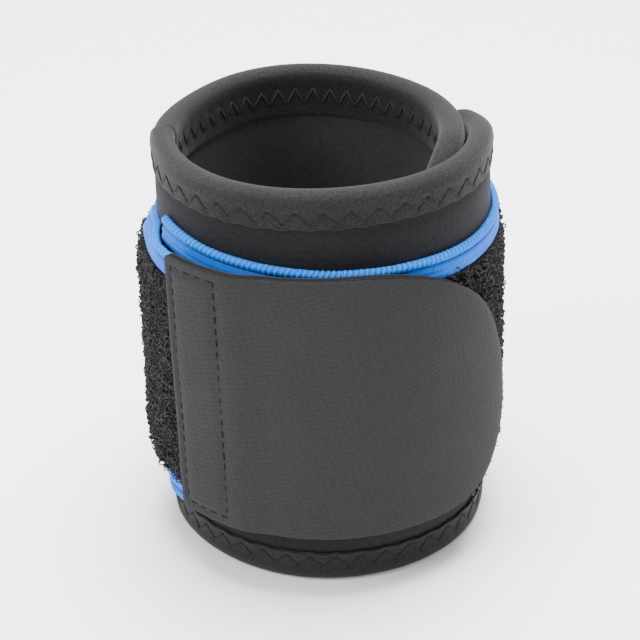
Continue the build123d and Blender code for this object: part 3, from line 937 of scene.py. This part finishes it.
PRESSED_END = TAB_COVERS[1] - 14
PILE_RUNS = (
    ("wrap_start", 0.0, TAB_COVERS[0], PILE_GAP, 1),
    ("wrap_covered", TAB_COVERS[0], PRESSED_END, PRESSED_GAP, 1),
    ("wrap_open", PRESSED_END, WRAP_END, PILE_GAP, 5),
    ("lead", *BAND_SPANS["lead"], PILE_GAP, 3),
)
for number, (label, start, end, gap, lengths) in enumerate(PILE_RUNS):
    suffix, bend = ("end", BAND_BEND) if label == "lead" else ("wrap", None)
    cuts = np.linspace(start, end, lengths + 1)
    for length, (first, last) in enumerate(zip(cuts[:-1], cuts[1:])):
        pile = loop_pile(f"loop_pile_{label}_{length + 1}", first, last, gap, 20 + 7 * number + length)
        belong(pile, "loop_pile", "cuff", f"loop_pile_{suffix}", bend=bend)


# ---- hook tab ----------------------------------------------------------------------------
tab_outline = Outline(TAB_AT, TIP_AT, TAB_FOOT, TAB_CROWN, [1.8, 1.8, TAB_LOW_CORNER, TAB_HIGH_CORNER])


def tab_height(s):
    """The tab's inner face: over the band's end, then down to the pile."""
    return TAB_BASE_IN + (TAB_LEAF_IN - TAB_BASE_IN) * smooth((s - FOLD_AT - 1.0) / TAB_STEP)


def seam_pull(s, z):
    """How far the box seam pulls the tab down."""
    along_box = np.clip((z - TAB_FOOT - 1) / 1.5, 0, 1) * np.clip((TAB_CROWN - 1 - z) / 1.5, 0, 1)
    first, last = TAB_AT + FIRST_ROW, TAB_AT + LAST_ROW
    pull = (bell(s, first, SEAM_SPREAD) + bell(s, last, SEAM_SPREAD)) * along_box
    in_box = ((s > first) & (s < last)).astype(float)
    for row in (TAB_FOOT + SEAM_INSET, TAB_CROWN - SEAM_INSET):
        pull = np.maximum(pull, bell(z, row, SEAM_SPREAD) * in_box)
    return np.minimum(pull, 1)


def tab_relief(s, z, rim):
    """The tab's face: pressed at its cut edge, quilted by its seams and faintly uneven."""
    pressed = -0.3 * np.exp(-rim / 0.9)
    uneven = 0.1 * np.sin(s / 7.3 + z / 11.0) * np.sin(z / 8.1 - s / 13.0)
    return pressed - SEAM_PULL * seam_pull(s, z) + uneven


def tab_layer(name, low, high, finish, relief=None, rounding=0.15):
    """A layer of the tab, between two heights over its inner face."""
    return slab(
        name, TAB, tab_outline, lambda s: tab_height(s) + low, lambda s: tab_height(s) + high,
        finish, rounding, 0.9, relief,
    )


foam_top = TAPE_GAUGE + TAB_FOAM_GAUGE
tab_tape = tab_layer("tab_tape", 0, TAPE_GAUGE, "hook_tape")
belong(tab_tape, "hook_tape", "tab", "tab_hook_tape", bend=TAB_BEND)
tab_foam = tab_layer(
    "tab_padding", TAPE_GAUGE, foam_top, "neoprene_foam", lambda s, z, rim: 0.8 * tab_relief(s, z, rim)
)
belong(tab_foam, "neoprene_foam", "tab", "tab_foam_core", bend=TAB_BEND)
tab_face = tab_layer("tab_cloth", foam_top - 0.05, TAB_GAUGE, "tab_fabric", tab_relief, 0.3)
belong(tab_face, "tab_fabric", "tab", "tab_face_fabric", "tab_sewn_base", bend=TAB_BEND)


def seam_stitches():
    """Straight stitches round the box that holds the tab to the band."""
    low, high = TAB_FOOT + SEAM_INSET, TAB_CROWN - SEAM_INSET
    rises = np.arange(low + 0.8, high - 1.4, SEAM_PITCH)
    s = [np.full(len(rises), TAB_AT + row) for row in (FIRST_ROW, LAST_ROW)]
    z = [rises + SEAM_PITCH / 2] * 2
    upright = [np.ones(2 * len(rises))]
    runs = np.arange(TAB_AT + FIRST_ROW, TAB_AT + LAST_ROW - 1, SEAM_PITCH) + SEAM_PITCH / 2
    for row in (low, high):
        s.append(runs)
        z.append(np.full(len(runs), row))
        upright.append(np.zeros(len(runs)))
    s, z, upright = (np.concatenate(parts) for parts in (s, z, upright))
    spots = TAB.at(s, tab_height(s) + TAB_GAUGE - 0.36, z)
    along = upright[:, None] * UP + (1 - upright)[:, None] * BAND.along(s)
    return set_out(
        "tab_seam_row", seam_stitch, spots, BAND.outward(s), along, "tab_thread",
        size=SEAM_PITCH * 0.6, size_spread=0.15, turn=6, seed=9,
    )


belong(seam_stitches(), "tab_thread", "band_end", "tab_box_stitching")

anchor_levels = np.arange(BAND_FOOT + EDGING_WIDTH + 1, BAND_CROWN - EDGING_WIDTH - 1, SEAM_PITCH)
anchor_s = np.full(len(anchor_levels), 2.5)
anchor = set_out(
    "band_anchor_row", stitch, BAND.at(anchor_s, BAND_GAUGE + 0.15, anchor_levels),
    BAND.outward(anchor_s), np.broadcast_to(UP, (len(anchor_s), 3)),
    "black_thread", size=SEAM_PITCH * 0.9, seed=4,
)
belong(anchor, "black_thread", "cuff", "band_anchor_stitching")

hook_line = [(0, 0, 0), (0, 0, 0.28), (0.05, 0, 0.42), (0.17, 0, 0.5), (0.29, 0, 0.44), (0.33, 0, 0.3)]
hook = thread_piece("hook", hook_line, 0.07, 4)


def hook_field():
    """Rows of small hooks over the inner face of the leaf."""
    s = np.arange(FOLD_AT + 11, TIP_AT - 0.6, 1.25)
    z = np.arange(TAB_FOOT + 0.7, TAB_CROWN - 0.6, 1.1)
    s, z = (part.ravel() for part in np.meshgrid(s, z))
    keep = tab_outline.rim(s, z) > 0.45
    s, z = s[keep], z[keep]
    made = set_out(
        "tab_hooks", hook, TAB.at(s, tab_height(s) + 0.02, z), -BAND.outward(s), BAND.along(s),
        "hook_tape", size_spread=0.1, turn=25, tilt=6, seed=11,
    )
    belong(made, "hook_tape", "tab", "tab_hook_field")


hook_field()


def rim_hooks():
    """Hooks that show past the leaf's cut edge at its low corner."""
    chance = np.random.default_rng(31)
    turn = np.radians(chance.uniform(-75, 14, 60))
    reach = TAB_LOW_CORNER + chance.uniform(-0.05, 0.25, len(turn))
    s = TIP_AT - TAB_LOW_CORNER + reach * np.cos(turn)
    z = TAB_FOOT + TAB_LOW_CORNER + reach * np.sin(turn)
    spots = TAB.at(s, tab_height(s) + chance.uniform(0.3, TAB_GAUGE - 0.3, len(turn)), z)
    outward = np.cos(turn)[:, None] * TAB.along(s) + np.sin(turn)[:, None] * UP
    # These hooks take the light grey hook plastic, a painted glint on their edges; the hooks under the leaf
    # stay dark.
    made = set_out(
        "tab_rim_hooks", hook, spots, outward, TAB.outward(s), "hook_plastic_painted_glint",
        size=chance.uniform(0.7, 1.6, len(turn)), turn=60, tilt=25, seed=12,
    )
    belong(made, "hook_tape", "tab")


rim_hooks()

for spare in (stitch, fine_stitch, seam_stitch, rib, pile_loop, hook):
    bpy.data.objects.remove(spare)


# ---- floor, light and camera --------------------------------------------------------------
def floor():
    mesh = bpy.data.meshes.new("floor")
    reach, drop = 3.0, (FOOT - 0.02) * MM
    corners = ((-reach, -reach), (reach, -reach), (reach, reach), (-reach, reach))
    mesh.from_pydata([(x, y, drop) for x, y in corners], [], [(0, 1, 2, 3)])
    plain = Finish("floor", (0.93, 0.93, 0.93), 0.9)
    plain.shader.inputs["Specular IOR Level"].default_value = 0.0
    mesh.materials.append(plain.material)
    made = bpy.data.objects.new("floor", mesh)
    bpy.context.collection.objects.link(made)


def softbox(name, place, size, power):
    """A round soft light that looks at the middle of the wrist opening."""
    lamp = bpy.data.lights.new(name, "AREA")
    lamp.shape, lamp.size, lamp.energy = "DISK", size, power
    made = bpy.data.objects.new(name, lamp)
    made.location = place
    made.rotation_euler = (-Vector(place)).to_track_quat("-Z", "Y").to_euler()
    bpy.context.collection.objects.link(made)


def camera():
    elevation, distance, roll = radians(29.77), 0.4293, radians(-1.53)
    target = Vector((0.0016, 0, -0.0014))
    back = Vector((0, -cos(elevation), sin(elevation)))
    right = Vector((1, 0, 0))
    up = back.cross(right)
    right, up = right * cos(roll) + up * sin(roll), up * cos(roll) - right * sin(roll)
    lens = bpy.data.cameras.new("camera")
    lens.lens, lens.sensor_width = 110.98, 36.0
    lens.clip_start, lens.clip_end = 0.01, 20
    made = bpy.data.objects.new("camera", lens)
    made.matrix_world = Matrix((
        (right.x, up.x, back.x, target.x + back.x * distance),
        (right.y, up.y, back.y, target.y + back.y * distance),
        (right.z, up.z, back.z, target.z + back.z * distance),
        (0, 0, 0, 1),
    ))
    bpy.context.collection.objects.link(made)
    bpy.context.scene.camera = made


def sky(strength):
    world = bpy.data.worlds.new("pale room")
    world.use_nodes = True
    background = world.node_tree.nodes["Background"]
    background.inputs["Color"].default_value = (1, 1, 1, 1)
    background.inputs["Strength"].default_value = strength
    bpy.context.scene.world = world


KEY, OVERHEAD, FILL, SKY = 10.0, 40.0, 1.2, 1.1
floor()
softbox("key", (-0.75, -0.4, 0.7), 0.5, KEY)
softbox("overhead", (0.05, 0.15, 0.9), 0.7, OVERHEAD)
softbox("fill", (0.7, -0.6, 0.35), 0.6, FILL)
sky(SKY)
camera()
